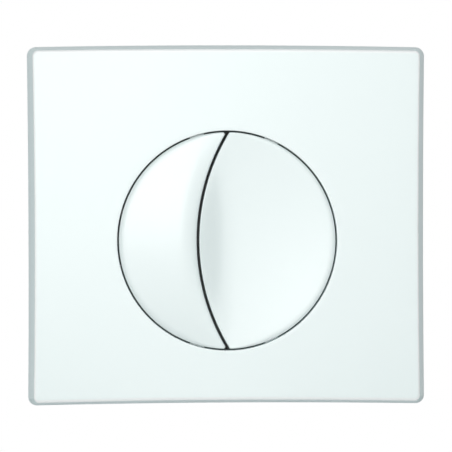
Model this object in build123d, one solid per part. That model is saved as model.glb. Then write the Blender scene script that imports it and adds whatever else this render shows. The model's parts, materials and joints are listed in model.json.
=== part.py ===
from build123d import *
from math import hypot, radians, sin, sqrt
import os

# Dual-flush button plate for a cistern behind a wall. Sizes are in millimetres and angles in degrees.
# Every piece is drawn face up: z = 0 is the finished wall, +z comes out of the wall and +y runs up it.
# The keys and all that works them are drawn about the centre of the key circle, then moved to their place.
# When written, each piece stands upright: the face looks along -Y, +Z is up and the rods run along +Y.

# Cover plate
plate_width = 190.0
plate_height = 171.0
plate_depth = 12.0  # wall to front edge, at the middle of the left or right side
plate_crown = 1.2  # rise of the face from there to its middle
plate_wall = 2.2
plate_corner_radius = 4.3  # at the wall
front_corner_radius = 2.6
inner_corner_radius = 0.4  # least radius inside a corner
side_lean = 3.9  # how far the left and right walls lean in between the wall and the front edge
end_lean = 3.2  # the same for the top and bottom walls
end_bow = 0.95  # the top and bottom edges run in arcs that rise this far to their middles
side_bow = 0.5  # the left and right edges draw in this far at their middles
front_edge_radius = 1.9
opening_edge_radius = 0.3
collar_wall = 2.0
rib_thickness = 1.4

# Keys
key_drop = 7.5  # the key circle's centre lies this far below the plate's
key_diameter = 102.4
key_gap = 0.8  # between the keys and the opening
divider_radius = 99.0  # arc of the gap between the two keys
divider_offset = 13.9  # from the key circle's centre to that arc's middle, to the left
divider_gap = 1.3
key_tip_radius = 0.95
key_edge_radius = 0.8
key_wall = 2.4
key_skirt = 7.5
small_key_dome = 2.6  # rise of the small key's face over the whole circle
large_key_dish = 2.6  # fall of the large key's face over the whole circle
roll_width = 8.5  # the small key's face rolls down beside the divider
roll_drop = 1.2
wave_start = 3.0  # the large key's face climbs to the divider from here, right of the circle's centre
wave_ease = 9.0  # run over which the climb steepens
wave_rise = 3.2  # climb at the divider's middle
stop_lug_reach = 1.5  # lugs that catch under the plate's collar
stop_lug_width = 7.0
small_lug_angle = 106.0  # from +x to each lug, up and down
large_lug_angle = 66.0

# Hinges
hinge_inset = 8.2  # from the key circle in to each hinge pin
hinge_headroom = 0.75  # between the hinge posts and the large key's underside
key_tilt = 9.0  # full travel of each key
hinge_pin_diameter = 3.0
hinge_pin_overhang = 1.0
hinge_pin_chamfer = 0.3
hinge_running_clearance = 0.05  # radial, in the keys' ears
hinge_seat_clearance = 0.02  # radial, in the carrier's posts
hinge_eye_wall = 1.2
ear_inset = 8.0  # from the middle of the key to its ears
ear_thickness = 3.2
ear_side_clearance = 0.5
hinge_post_thickness = 3.0

# Key carrier
carrier_wall = 2.2
carrier_floor = 2.2
carrier_depth = 11.8  # wall to the front of the carrier's floor
carrier_clearance = 0.8  # round the keys' lugs
flange_thickness = 2.4
flange_width = 4.0
collar_clearance = 0.3
lug_clearance = 0.3  # between the keys' lugs and the collar
gusset_clearance = 1.0
floor_rib_height = 4.0
floor_rib_thickness = 1.8
floor_rib_count = 8

# Screws that hold the carrier to the plate
screw_setout = 6.3  # from the carrier's wall out to the screws
screw_diameter = 2.9
screw_cover = 1.5  # left of the plate in front of the screws
screw_head_diameter = 5.6
screw_head_height = 1.8
screw_head_edge = 0.6
screw_head_clearance = 0.8  # between the heads and the mounting frame
screw_slot_width = 0.9
screw_slot_depth = 0.9
screw_clearance = 0.25
boss_wall = 2.0

# Buffers
buffer_diameter = 7.0
buffer_height = 4.0
buffer_edge = 1.0
buffer_stem_diameter = 3.2
buffer_bulb_diameter = 4.6
buffer_bulb_height = 1.8
buffer_bulb_chamfer = 0.6
buffer_post_diameter = 5.0
buffer_clearance = 0.3  # left between key and buffer at full tilt
small_buffer_x = -26.0
small_buffer_y = 20.0
large_buffer_x = 8.0
large_buffer_y = 28.0

# Push rods
rod_offset = 21.0  # from the key circle's centre to each rod
rod_diameter = 6.0
rod_chamfer = 0.75
rod_head_margin = 0.35  # of the head past the return spring
rod_head_height = 2.5
rod_head_edge = 0.5
rod_head_depth = 0.5  # wall to the front of the head
rod_length = 58.0  # behind the head
rod_clearance = 0.25  # radial, in the guide
guide_wall = 2.5
guide_length = 8.0  # behind the carrier's floor
pad_clearance = 0.3  # between a key's pad and the rod's head
pad_thickness = 6.0
pad_width = 8.0
rod_groove_depth = 0.6
clip_thickness = 0.9
clip_diameter = 10.5
clip_opening = 4.4
clip_clearance = 0.3  # from the guide's end to the clip
clip_side_clearance = 0.05
tip_diameter = 10.0
tip_length = 17.0
tip_grip_diameter = 14.0
tip_grip_length = 7.0
tip_grip_flutes = 8
tip_flute_diameter = 3.0
tip_edge_radius = 1.6
tip_overlap = 14.0  # how far the rod is screwed into its tip
tip_end_clearance = 0.4
lock_nut_flats = 11.0
lock_nut_height = 4.5
lock_nut_chamfer = 0.6

# Return springs
spring_wire = 0.9
spring_turns = 4.5
spring_clearance = 0.2  # radial, over the guide's locating ring
spring_end_clearance = 0.05
locator_wall = 0.8
locator_height = 1.6

# Mounting frame
frame_margin = 10.5  # from the plate's outside in to the frame
frame_corner_radius = 8.0
frame_web = 3.0
frame_rim_height = 5.0
frame_rim_width = 2.5
frame_window_clearance = 1.9  # round the carrier
frame_pocket_depth = 1.2  # moulded pockets in the frame's back
frame_pocket_margin = 4.0
frame_rib_width = 4.0
hook_inset = 29.5  # from the frame's sides in to the hooks
hook_width = 10.0
hook_thickness = 1.8
hook_barb = 1.4
hook_barb_height = 1.8
hook_lift = 0.8  # hook's end above the wall
hook_clearance = 0.3
hook_side_clearance = 1.0

# Wall fixings
stud_diameter = 6.0
stud_neck_diameter = 5.0  # from the wall's face forward, for the thumb nut
stud_length = 45.0  # behind the wall's face
stud_slot_length = 14.0
stud_slot_clearance = 0.4
stud_chamfer = 0.8
washer_diameter = 12.0
washer_thickness = 1.2
washer_clearance = 0.2
thumb_nut_diameter = 11.0
thumb_nut_clearance = 1.4  # between the thumb nuts and the plate's inside
thumb_nut_flutes = 12
thumb_nut_flute_diameter = 1.5

# How finely the keys' faces are drawn
face_steps = 40
face_tolerance = 0.002
face_margin = 4.0  # how far a drawn face runs past its key

# Derived sizes: plan
key_radius = key_diameter / 2
opening_radius = key_radius + key_gap
divider_x = divider_radius - divider_offset
small_divider_radius = divider_radius + divider_gap / 2
large_divider_radius = divider_radius - divider_gap / 2
hinge_offset = key_radius - hinge_inset
carrier_inner = key_radius + stop_lug_reach + carrier_clearance
carrier_outer = carrier_inner + carrier_wall
flange_radius = carrier_outer + flange_width
screw_circle_radius = carrier_outer + screw_setout
window_radius = carrier_outer + frame_window_clearance
frame_width = plate_width - 2 * frame_margin
frame_height = plate_height - 2 * frame_margin
frame_inside = frame_width / 2 - frame_rim_width
stud_offset = (flange_radius + frame_inside) / 2  # midway between the carrier and the frame's rim
hook_offset = frame_width / 2 - hook_inset
post_inset = ear_inset + ear_thickness + ear_side_clearance

# Derived sizes: radii
pin_radius = hinge_pin_diameter / 2
eye_radius = pin_radius + hinge_eye_wall
boss_radius = screw_diameter / 2 + boss_wall
rod_radius = rod_diameter / 2
guide_inner = rod_radius + rod_clearance
guide_outer = guide_inner + guide_wall
locator_radius = guide_inner + locator_wall
spring_radius = locator_radius + spring_clearance + spring_wire / 2
rod_head_radius = spring_radius + spring_wire / 2 + rod_head_margin
groove_radius = rod_radius - rod_groove_depth
crown_run = plate_width / 2 - side_lean
crown_radius = (crown_run**2 + plate_crown**2) / (2 * plate_crown)
face_top = plate_depth + plate_crown


def face_level(reach):
    """Level of the plate's crowned face at a distance from its middle."""
    return face_top - crown_radius + sqrt(crown_radius**2 - reach**2)


def swell(x, y):
    """Share of a key's dome or dish at a point: 1 at the circle's centre and 0 on the circle."""
    return 1 - (x * x + y * y) / key_radius**2


# Derived sizes: levels above the wall, from the front to the back
in_front = 2 * face_top  # clear of every face
ring_level = face_level(key_radius)
screw_tip = face_level(screw_circle_radius + key_drop) - screw_cover
flange_back = frame_web + screw_head_clearance + screw_head_height
flange_level = flange_back + flange_thickness
collar_level = flange_level + collar_clearance
lug_level = collar_level - lug_clearance
thumb_nut_level = face_level(stud_offset) - plate_wall - thumb_nut_clearance
large_key_underside = ring_level - large_key_dish * swell(hinge_offset, 0) - key_wall
pin_level = large_key_underside - hinge_headroom - eye_radius
skirt_level = ring_level - key_skirt
washer_level = frame_web + washer_thickness
head_level = -rod_head_depth
head_back = head_level - rod_head_height
floor_level = -carrier_depth
buffer_level = floor_level + buffer_height
floor_back = floor_level - carrier_floor
guide_end = floor_back - guide_length
clip_level = guide_end - clip_clearance
rod_end = head_back - rod_length
tip_front = rod_end + tip_overlap
tip_end = tip_front - tip_grip_length - tip_length

# Places
sides = (-1, 1)
key_place = Pos(0, -key_drop, 0)
screw_places = [Rot(0, 0, turn) * Pos(screw_circle_radius, 0, 0) for turn in (45, 135, 225, 315)]
stud_places = [Pos(side * stud_offset, 0, 0) for side in sides]
rod_places = [Pos(side * rod_offset, 0, 0) for side in sides]
small_buffer_places = [Pos(small_buffer_x, side * small_buffer_y, 0) for side in sides]
large_buffer_places = [Pos(large_buffer_x, side * large_buffer_y, 0) for side in sides]


def post(radius, low, high):
    """Upright cylinder about the z axis between two levels."""
    return Pos(0, 0, (low + high) / 2) * Cylinder(radius, high - low)


def tube(outer, inner, low, high):
    """Upright tube about the z axis between two levels."""
    return post(outer, low, high) - post(inner, low, high)


def block(x_low, x_high, y_low, y_high, low, high):
    """Box between two corners."""
    centre = Pos((x_low + x_high) / 2, (y_low + y_high) / 2, (low + high) / 2)
    return centre * Box(x_high - x_low, y_high - y_low, high - low)


def pin(radius, x, y_low, y_high, level):
    """Cylinder along y, as the hinge pins lie."""
    return Pos(x, (y_low + y_high) / 2, level) * Rot(90, 0, 0) * Cylinder(radius, y_high - y_low)


def crown_ball(radius):
    """Ball about the centre of the crowned face, with its poles and seam turned away from the plate."""
    seat = Plane(origin=(0, 0, face_top - crown_radius), x_dir=(0, 0, -1), z_dir=(0, 1, 0))
    return seat.location * Sphere(radius)


def plate_form(low, high, inset):
    """Block with the plate's leaning walls and bowed edges, set in by a wall's thickness."""

    def outline(level):
        lean = level / plate_depth
        half_width = plate_width / 2 - side_lean * lean - inset
        half_height = plate_height / 2 - end_lean * lean - inset
        rise = end_bow * half_width / (plate_width / 2)
        draw = side_bow * half_height / (plate_height / 2)
        corner = plate_corner_radius + (front_corner_radius - plate_corner_radius) * lean - inset
        left, right, bottom, top = -half_width, half_width, -half_height - rise, half_height - rise
        edges = [
            ThreePointArc((left, bottom), (0, -half_height), (right, bottom)),
            ThreePointArc((right, bottom), (right - draw, -rise), (right, top)),
            ThreePointArc((right, top), (0, half_height), (left, top)),
            ThreePointArc((left, top), (left + draw, -rise), (left, bottom)),
        ]
        face = make_face(edges)
        return Pos(0, 0, level) * fillet(face.vertices(), max(corner, inner_corner_radius))

    return loft([outline(low), outline(high)], ruled=True)


def snap_hook():
    """Hook on the plate's back that grips under the frame's upper edge."""
    half = hook_width / 2
    near = frame_height / 2 + hook_clearance
    blade = block(-half, half, near, near + hook_thickness, hook_lift, face_top)
    barb = block(-half, half, frame_height / 2 - hook_barb, near, hook_lift, hook_lift + hook_barb_height)
    return blade + barb


def at_hooks(piece):
    """Copies of a piece at the two upper and, turned over, the two lower hooks."""
    return [Rot(0, 0, turn) * Pos(side * hook_offset, 0, 0) * piece for turn in (0, 180) for side in sides]


def make_cover_plate():
    solid = plate_form(0, face_top, 0) & crown_ball(crown_radius)
    front = solid.faces().sort_by(Axis.Z)[-1]
    solid = fillet(front.edges(), front_edge_radius)
    hollow = plate_form(-plate_wall, face_top, plate_wall) & crown_ball(crown_radius - plate_wall)

    half = rib_thickness / 2
    rib = block(opening_radius, plate_width, -half, half, collar_level, face_top)
    ribs = [Rot(0, 0, turn) * rib for turn in (45, 75, 105, 135, 225, 255, 285, 315)]
    collar = post(opening_radius + collar_wall, collar_level, face_top)
    bosses = [place * post(boss_radius, flange_level, face_top) for place in screw_places]
    stiffeners = key_place * (collar + ribs + bosses) + at_hooks(snap_hook())

    opening = key_place * post(opening_radius, -plate_depth, in_front)
    pilots = [key_place * place * post(screw_diameter / 2, 0, screw_tip) for place in screw_places]
    plate = solid - hollow + (stiffeners & solid) - opening - pilots
    front = plate.faces().sort_by(Axis.Z)[-1]
    return fillet(front.inner_wires()[0].edges(), opening_edge_radius)


def small_key_face(x, y):
    """Domed, and rolled down beside the divider."""
    inside = hypot(x - divider_x, y) - small_divider_radius
    roll = roll_drop * max(0.0, 1 - inside / roll_width) ** 2
    return ring_level + swell(x, y) * (small_key_dome - roll)


def wave(x):
    """Climb of the large key's face to the divider, which carries the small key's roll into the dish."""
    run = max(0.0, wave_start - x)
    climb = run**2 / (2 * wave_ease) if run < wave_ease else run - wave_ease / 2
    return wave_rise * climb / (wave_start + divider_offset - wave_ease / 2)


def large_key_face(x, y):
    """Dished, with a wave beside the divider."""
    return ring_level - swell(x, y) * (large_key_dish - wave(x))


def above(face, x_low, x_high, drop):
    """All that lies in front of a key's face, or of its underside where dropped by the key's wall."""
    reach = key_radius + face_margin
    steps = range(face_steps + 1)

    def place(i, j):
        x = x_low + (x_high - x_low) * i / face_steps
        y = reach * (2 * j / face_steps - 1)
        return Vector(x, y, face(x, y) - drop)

    points = [[place(i, j) for i in steps] for j in steps]
    sheet = Face.make_surface_from_array_of_points(points, tol=face_tolerance)
    return Solid.extrude(sheet, Vector(0, 0, in_front))


def key_shell(outline, inner_outline, face, x_low, x_high):
    """The key's outside form as one block, and the hollow inside its walls."""
    prism = Pos(0, 0, skirt_level) * extrude(outline, in_front)
    tips = prism.edges().filter_by(Axis.Z).filter_by(lambda edge: abs(edge.center().Y) > key_radius / 2)
    form = fillet(tips, key_tip_radius) - above(face, x_low, x_high, 0)
    form = fillet(form.faces().sort_by(Axis.Z)[-1].edges(), key_edge_radius)
    hollow = Pos(0, 0, floor_level) * extrude(inner_outline, in_front - floor_level)
    return form, hollow - above(face, x_low, x_high, key_wall)


def hinge_ear(side, low):
    """Ear under a key that turns on its hinge pin."""
    x = side * hinge_offset
    high = low + ear_thickness
    eye = pin(eye_radius, x, low, high, pin_level)
    return eye + block(x - eye_radius, x + eye_radius, low, high, pin_level, in_front)


def push_pad(side):
    """Round-nosed blade under a key that bears on its rod's head."""
    x = side * rod_offset
    radius = pad_thickness / 2
    level = head_level + pad_clearance + radius
    nose = pin(radius, x, -pad_width / 2, pad_width / 2, level)
    return nose + block(x - radius, x + radius, -pad_width / 2, pad_width / 2, level, in_front)


def stop_lug(angle):
    """Lug on a key's skirt that catches under the plate's collar."""
    half = stop_lug_width / 2
    rim = tube(key_radius + stop_lug_reach, key_radius - key_wall / 2, skirt_level, lug_level)
    return Rot(0, 0, angle) * block(0, carrier_outer, -half, half, skirt_level, lug_level) & rim


def key_fittings(side, buffer_places, buffer_x):
    """A key's ears, push pad and buffer posts. side is -1 on the left and 1 on the right."""
    fall = abs(side * hinge_offset - buffer_x) * sin(radians(key_tilt))
    foot = post(buffer_post_diameter / 2, buffer_level + buffer_clearance + fall, in_front)
    ears = [hinge_ear(side, low) for low in (ear_inset, -ear_inset - ear_thickness)]
    return Part() + ears + push_pad(side) + [place * foot for place in buffer_places]


def make_key(side, form, hollow, inner_outline, fittings, lug_angle):
    room = form + Pos(0, 0, floor_level) * extrude(inner_outline, skirt_level - floor_level)
    lugs = [stop_lug(lug_angle), stop_lug(-lug_angle)]
    bore = pin(pin_radius + hinge_running_clearance, side * hinge_offset, -key_radius, key_radius, pin_level)
    return key_place * (form - hollow + (fittings & room) + lugs - bore)


def make_small_key():
    divider = Pos(divider_x, 0)
    outline = Circle(key_radius) - divider * Circle(small_divider_radius)
    inner = Circle(key_radius - key_wall) - divider * Circle(small_divider_radius + key_wall)
    form, hollow = key_shell(outline, inner, small_key_face, -key_radius - face_margin, face_margin)
    fittings = key_fittings(-1, small_buffer_places, small_buffer_x)
    return make_key(-1, form, hollow, inner, fittings, small_lug_angle)


def make_large_key():
    divider = Pos(divider_x, 0)
    outline = Circle(key_radius) & divider * Circle(large_divider_radius)
    inner = Circle(key_radius - key_wall) & divider * Circle(large_divider_radius - key_wall)
    x_low = -divider_offset - face_margin
    form, hollow = key_shell(outline, inner, large_key_face, x_low, key_radius + face_margin)
    fittings = key_fittings(1, large_buffer_places, large_buffer_x)
    return make_key(1, form, hollow, inner, fittings, large_lug_angle)


def hinge_post(near):
    """Post on the carrier's floor that holds one end of the right-hand pin, with a gusset to the wall."""
    far = near + hinge_post_thickness
    x = hinge_offset
    upright = block(x - eye_radius, x + eye_radius, near, far, floor_level, pin_level)
    gusset = block(x, carrier_outer, near, far, floor_level, skirt_level - gusset_clearance)
    room = post(carrier_outer, floor_level, in_front)
    bore = pin(pin_radius + hinge_seat_clearance, x, near, far, pin_level)
    return (upright + pin(eye_radius, x, near, far, pin_level) + gusset - bore) & room


def make_key_carrier():
    wall = tube(carrier_outer, carrier_inner, floor_back, flange_level)
    floor = post(carrier_inner, floor_back, floor_level)
    lug_radius = boss_radius + screw_clearance
    lug = post(lug_radius, flange_back, flange_level)
    lug += block(-screw_setout, 0, -lug_radius, lug_radius, flange_back, flange_level)
    flange = tube(flange_radius, carrier_inner, flange_back, flange_level)
    flange += [place * lug for place in screw_places]

    post_pair = [hinge_post(post_inset), hinge_post(-post_inset - hinge_post_thickness)]
    posts = [Rot(0, 0, turn) * hinge for turn in (0, 180) for hinge in post_pair]
    guides = [place * post(guide_outer, guide_end, floor_back) for place in rod_places]
    locator = post(locator_radius, floor_level, floor_level + locator_height)
    locators = [place * locator for place in rod_places]

    half = floor_rib_thickness / 2
    rib_back = floor_back - floor_rib_height
    rib = block(rod_offset + guide_outer, carrier_outer, -half, half, rib_back, floor_back)
    rib &= post(carrier_outer, rib_back, floor_back)
    ribs = [Rot(0, 0, 360 * (i + 0.5) / floor_rib_count) * rib for i in range(floor_rib_count)]

    rod_holes = [place * post(guide_inner, guide_end, head_back) for place in rod_places]
    screw_hole = post(screw_diameter / 2 + screw_clearance, flange_back, flange_level)
    screw_holes = [place * screw_hole for place in screw_places]
    buffer_hole = post(buffer_stem_diameter / 2, floor_back, floor_level)
    buffer_holes = [place * buffer_hole for place in small_buffer_places + large_buffer_places]
    carrier = wall + floor + flange + posts + guides + locators + ribs
    return key_place * (carrier - rod_holes - screw_holes - buffer_holes)


def make_carrier_screws():
    head_end = flange_back - screw_head_height
    half = screw_slot_width / 2
    reach = screw_head_diameter / 2
    head = post(reach, head_end, flange_back)
    head = fillet(head.edges().group_by(Axis.Z)[0], screw_head_edge)
    slot = block(-reach, reach, -half, half, head_end, head_end + screw_slot_depth)
    screw = post(screw_diameter / 2, flange_back, screw_tip) + head - slot
    return [key_place * place * screw for place in screw_places]


def make_hinge_pin(side):
    half_length = post_inset + hinge_post_thickness + hinge_pin_overhang
    rod = pin(pin_radius, side * hinge_offset, -half_length, half_length, pin_level)
    return key_place * chamfer(rod.edges().filter_by(GeomType.CIRCLE), hinge_pin_chamfer)


def make_key_buffers():
    head = post(buffer_diameter / 2, floor_level, buffer_level)
    head = fillet(head.edges().group_by(Axis.Z)[-1], buffer_edge)
    stem = post(buffer_stem_diameter / 2, floor_back, floor_level)
    bulb = post(buffer_bulb_diameter / 2, floor_back - buffer_bulb_height, floor_back)
    bulb = chamfer(bulb.edges().group_by(Axis.Z)[0], buffer_bulb_chamfer)
    buffer = head + stem + bulb
    return [key_place * place * buffer for place in small_buffer_places + large_buffer_places]


def make_push_rod():
    head = post(rod_head_radius, head_back, head_level)
    head = fillet(head.edges().group_by(Axis.Z)[-1], rod_head_edge)
    shank = post(rod_radius, rod_end, head_back)
    shank = chamfer(shank.edges().group_by(Axis.Z)[0], rod_chamfer)
    groove_back = clip_level - clip_thickness - clip_side_clearance
    return head + shank - tube(rod_diameter, groove_radius, groove_back, clip_level + clip_side_clearance)


def make_return_spring():
    low = floor_level + spring_wire / 2 + spring_end_clearance
    high = head_back - spring_wire / 2 - spring_end_clearance
    path = Pos(0, 0, low) * Helix((high - low) / spring_turns, high - low, spring_radius)
    section = Plane(origin=path @ 0, z_dir=path % 0) * Circle(spring_wire / 2)
    return sweep(section, path, is_frenet=True)


def make_rod_clip():
    back = clip_level - clip_thickness
    ring = tube(clip_diameter / 2, groove_radius, back, clip_level)
    return ring - block(0, clip_diameter, -clip_opening / 2, clip_opening / 2, back, clip_level)


def make_rod_tip():
    grip_end = tip_front - tip_grip_length
    grip = post(tip_grip_diameter / 2, grip_end, tip_front)
    flute = Pos(tip_grip_diameter / 2, 0, 0) * post(tip_flute_diameter / 2, grip_end, tip_front)
    grip -= [Rot(0, 0, 360 * i / tip_grip_flutes) * flute for i in range(tip_grip_flutes)]
    nose = post(tip_diameter / 2, tip_end, grip_end)
    nose = fillet(nose.edges().group_by(Axis.Z)[0], tip_edge_radius)
    return grip + nose - post(rod_radius, rod_end - tip_end_clearance, tip_front)


def make_lock_nut():
    hexagon = RegularPolygon(lock_nut_flats / 2, 6, major_radius=False)
    corner_radius = lock_nut_flats / sqrt(3)
    blank = post(corner_radius, tip_front, tip_front + lock_nut_height)
    blank = chamfer(blank.edges().filter_by(GeomType.CIRCLE), lock_nut_chamfer)
    nut = blank & Pos(0, 0, tip_front) * extrude(hexagon, lock_nut_height)
    return nut - post(rod_radius, tip_front, tip_front + lock_nut_height)


def frame_pockets():
    """Shallow pockets moulded into the frame's back, with ribs left between them and round the studs."""
    margin = frame_pocket_margin
    corner = frame_corner_radius - margin
    field = RectangleRounded(frame_width - 2 * margin, frame_height - 2 * margin, corner)
    field -= Pos(0, -key_drop) * Circle(window_radius + margin)
    land = Rectangle(washer_diameter, stud_slot_length + 2 * margin)
    field -= [place * land for place in stud_places]
    rib = Rectangle(2 * plate_width, frame_rib_width)
    field -= [Pos(0, -key_drop) * Rot(0, 0, turn) * rib for turn in (0, 30, 60, 90, 120, 150)]
    return extrude(field, frame_pocket_depth)


def make_mounting_frame():
    outline = RectangleRounded(frame_width, frame_height, frame_corner_radius)
    width = frame_width - 2 * frame_rim_width
    height = frame_height - 2 * frame_rim_width
    inside = RectangleRounded(width, height, frame_corner_radius - frame_rim_width)
    window = Pos(0, -key_drop) * Circle(window_radius)
    slot = Rot(0, 0, 90) * SlotOverall(stud_slot_length, stud_diameter + 2 * stud_slot_clearance)
    slots = [place * slot for place in stud_places]
    web = extrude(outline - window - slots, frame_web)
    rim = extrude(outline - inside, frame_rim_height)

    half = hook_width / 2 + hook_side_clearance
    near = frame_height / 2 - hook_barb - hook_clearance
    catch = block(-half, half, near, frame_height, 0, hook_lift + hook_barb_height + hook_clearance)
    return web + rim - frame_pockets() - at_hooks(catch)


def make_fixing_studs():
    stud = post(stud_diameter / 2, -stud_length, 0)
    stud = chamfer(stud.edges().group_by(Axis.Z)[0], stud_chamfer)
    neck = post(stud_neck_diameter / 2, 0, thumb_nut_level)
    neck = chamfer(neck.edges().group_by(Axis.Z)[-1], stud_chamfer)
    return [place * (stud + neck) for place in stud_places]


def make_fixing_washers():
    washer = tube(washer_diameter / 2, stud_neck_diameter / 2 + washer_clearance, frame_web, washer_level)
    return [place * washer for place in stud_places]


def make_thumb_nuts():
    nut = tube(thumb_nut_diameter / 2, stud_neck_diameter / 2, washer_level, thumb_nut_level)
    flute = post(thumb_nut_flute_diameter / 2, washer_level, thumb_nut_level)
    flute = Pos(thumb_nut_diameter / 2, 0, 0) * flute
    nut -= [Rot(0, 0, 360 * i / thumb_nut_flutes) * flute for i in range(thumb_nut_flutes)]
    return [place * nut for place in stud_places]


def write_part(name, pieces):
    """Stands a group of like pieces upright and writes it under its name."""
    solids = [Rot(90, 0, 0) * solid for piece in pieces for solid in piece.solids()]
    export_step(solids[0] if len(solids) == 1 else Compound(children=solids), f"parts/{name}.step")


os.makedirs("parts", exist_ok=True)
write_part("cover_plate", [make_cover_plate()])
write_part("small_flush_key", [make_small_key()])
write_part("large_flush_key", [make_large_key()])
write_part("key_carrier", [make_key_carrier()])
write_part("carrier_screws", make_carrier_screws())
write_part("key_buffers", make_key_buffers())
write_part("mounting_frame", [make_mounting_frame()])
write_part("fixing_studs", make_fixing_studs())
write_part("fixing_washers", make_fixing_washers())
write_part("thumb_nuts", make_thumb_nuts())

rod_pieces = {
    "push_rod": make_push_rod(),
    "return_spring": make_return_spring(),
    "rod_clip": make_rod_clip(),
    "rod_tip": make_rod_tip(),
    "lock_nut": make_lock_nut(),
}
for key_name, key_side, rod_place in zip(("small", "large"), sides, rod_places):
    write_part(f"{key_name}_hinge_pin", [make_hinge_pin(key_side)])
    for piece_name, rod_piece in rod_pieces.items():
        write_part(f"{key_name}_{piece_name}", [key_place * rod_place * rod_piece])
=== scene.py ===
import json
from math import asin, atan2, cos, hypot, pi, radians, sin, sqrt, tan
from types import SimpleNamespace

import bmesh
import bpy
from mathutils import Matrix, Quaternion, Vector


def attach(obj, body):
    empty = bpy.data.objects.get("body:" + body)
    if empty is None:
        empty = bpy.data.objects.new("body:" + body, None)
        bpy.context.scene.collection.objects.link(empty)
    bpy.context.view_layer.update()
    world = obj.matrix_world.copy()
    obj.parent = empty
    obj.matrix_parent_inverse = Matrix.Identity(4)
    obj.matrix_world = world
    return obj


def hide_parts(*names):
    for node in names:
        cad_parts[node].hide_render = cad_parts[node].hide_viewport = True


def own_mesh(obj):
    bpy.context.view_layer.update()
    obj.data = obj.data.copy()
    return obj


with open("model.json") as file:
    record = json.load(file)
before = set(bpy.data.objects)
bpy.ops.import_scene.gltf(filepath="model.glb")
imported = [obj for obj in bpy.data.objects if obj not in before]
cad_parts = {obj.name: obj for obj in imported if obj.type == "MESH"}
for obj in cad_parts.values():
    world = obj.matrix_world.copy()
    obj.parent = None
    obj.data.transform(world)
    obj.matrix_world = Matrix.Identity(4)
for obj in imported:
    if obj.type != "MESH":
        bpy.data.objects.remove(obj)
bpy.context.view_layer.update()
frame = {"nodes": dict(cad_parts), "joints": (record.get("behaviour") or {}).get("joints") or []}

bl_info = {
    "name": "Flush plate",
    "version": (1, 0, 0),
    "blender": (4, 5, 0),
    "location": "View3D > Sidebar > Flush plate",
    "description": "Models a two-key flush plate with its push rods and wall fixings on the CAD frame",
    "category": "Object",
}

HINGE = next(joint["pos_m"] for joint in frame["joints"] if joint["name"] == "large_key_tilt")
SIDES = {"small": -1, "large": 1}
MM_PER_METRE = 1000


# Sizes and colours that a user would change

def length(name, description, default):
    return bpy.props.FloatProperty(
        name=name, description=description, default=default, unit="LENGTH", subtype="DISTANCE", precision=5
    )


def colour(name, description, default):
    return bpy.props.FloatVectorProperty(
        name=name, description=description, default=default, min=0, max=1, subtype="COLOR"
    )


class PlateSizes(bpy.types.PropertyGroup):
    """Cover plate, with levels measured out from the wall"""

    width: length("Width", "Width against the wall", 0.190)
    height: length("Height", "Height against the wall, at the middle", 0.171)
    depth: length("Depth", "Wall to front edge at the sides", 0.012)
    crown: length("Crown", "Rise of the face to its middle", 0.0012)
    wall: length("Wall", "Moulded wall thickness", 0.0022)
    corner: length("Corner", "Corner radius at the wall", 0.0043)
    front_corner: length("Front corner", "Corner radius at the front edge", 0.0026)
    inner_corner: length("Inner corner", "Least radius inside a corner", 0.0004)
    end_bow: length("End bow", "Rise of the top and bottom edges to their middles", 0.000945)
    side_bow: length("Side bow", "How far the side edges draw in at their middles", 0.0005)
    side_lean: length("Side lean", "How far the side walls lean in", 0.0039)
    end_lean: length("End lean", "How far the top and bottom walls lean in", 0.0026)
    front_edge: length("Front edge", "Rounding of the front edge", 0.0008)
    front_roll: length("Front roll", "Soft roll from the face to that edge, at the ends", 0.0032)
    side_roll: length("Side roll", "That roll, at the sides", 0.0018)
    opening: length("Opening", "Radius of the opening for the keys", 0.052)
    opening_edge: length("Opening edge", "Rounding of the opening's edge", 0.0003)
    collar_wall: length("Collar wall", "Wall of the collar round the keys", 0.002)
    collar_level: length("Collar level", "Back of the collar", 0.0083)
    rib: length("Rib", "Thickness of the ribs behind the face", 0.0014)
    boss: length("Boss", "Radius of the screw bosses", 0.00345)
    pilot: length("Pilot", "Radius of the holes in the bosses", 0.00145)
    boss_level: length("Boss level", "Back of the screw bosses", 0.008)
    boss_circle: length("Boss circle", "Radius of the circle the bosses stand on", 0.062)
    hook_place: length("Hook place", "Middle of the plate to each hook", 0.055)
    hook_width: length("Hook width", "Width of the snap hooks", 0.010)
    hook_reach: length("Hook reach", "Middle of the plate to the hooks' near face", 0.0753)
    hook_wall: length("Hook wall", "Thickness of the hooks", 0.0018)
    hook_barb: length("Hook barb", "How far the barbs reach in", 0.0017)
    hook_lift: length("Hook lift", "Wall to the hooks' ends", 0.0008)


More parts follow.
